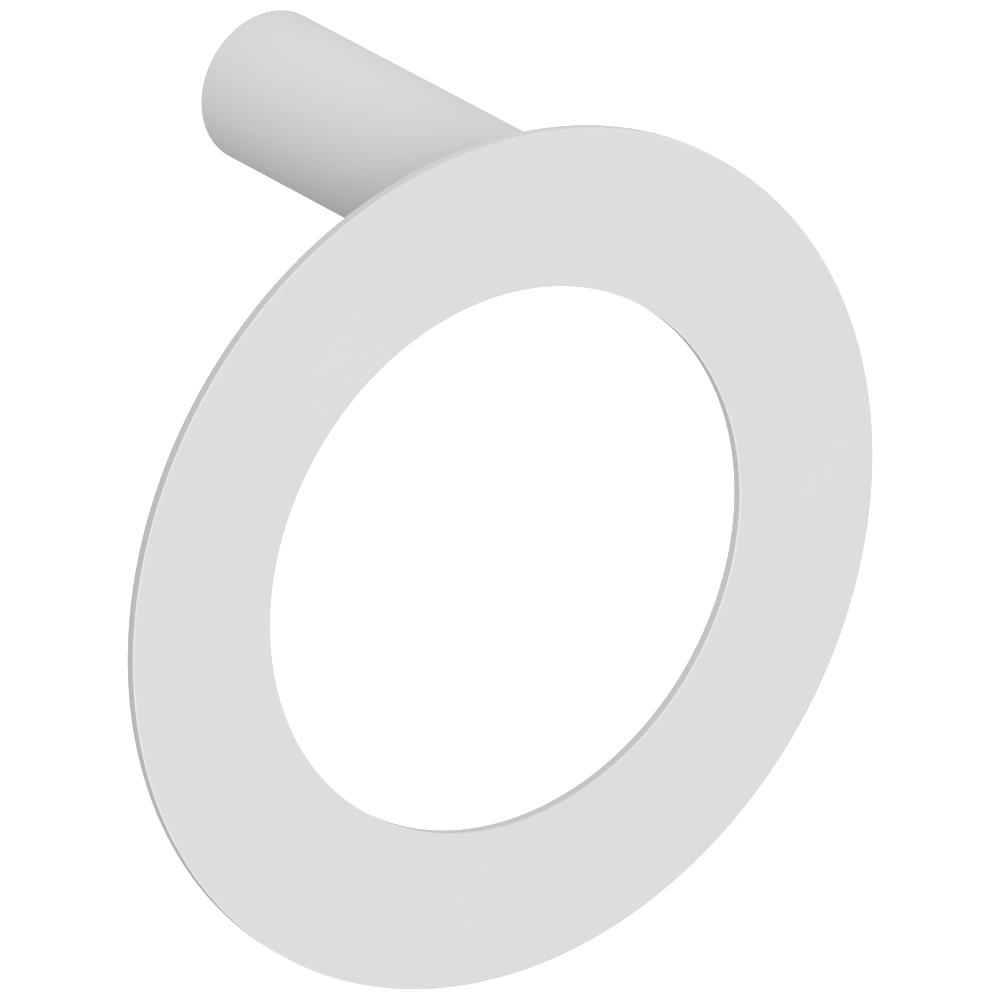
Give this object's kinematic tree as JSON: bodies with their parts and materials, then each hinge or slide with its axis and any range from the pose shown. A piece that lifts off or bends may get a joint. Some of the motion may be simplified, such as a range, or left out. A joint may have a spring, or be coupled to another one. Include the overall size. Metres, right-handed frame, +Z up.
{
  "type": "towel ring",
  "caption": "Wall-mounted towel ring: a flat round plate with a large round hole, held off the wall by a round post.",
  "frame": {"origin": "where the axis of the post meets the wall, midway between the two wall screws", "axes": "+Z up, +Y into the wall along the post's axis, +X level along the wall"},
  "size_m": [0.2, 0.0917, 0.2001],
  "materials": {
    "powder_coat": "light neutral grey powder coat, matt",
    "plated_steel": "bright zinc plate",
    "bracket_metal": "turned steel, zinc plated"
  },
  "bodies": {
    "root": {"ring_plate": "powder_coat", "post": "powder_coat", "weld_studs": "plated_steel", "washers": "plated_steel", "nuts": "plated_steel", "wall_bracket": "bracket_metal", "grub_screw": "plated_steel"}
  },
  "joints": []
}
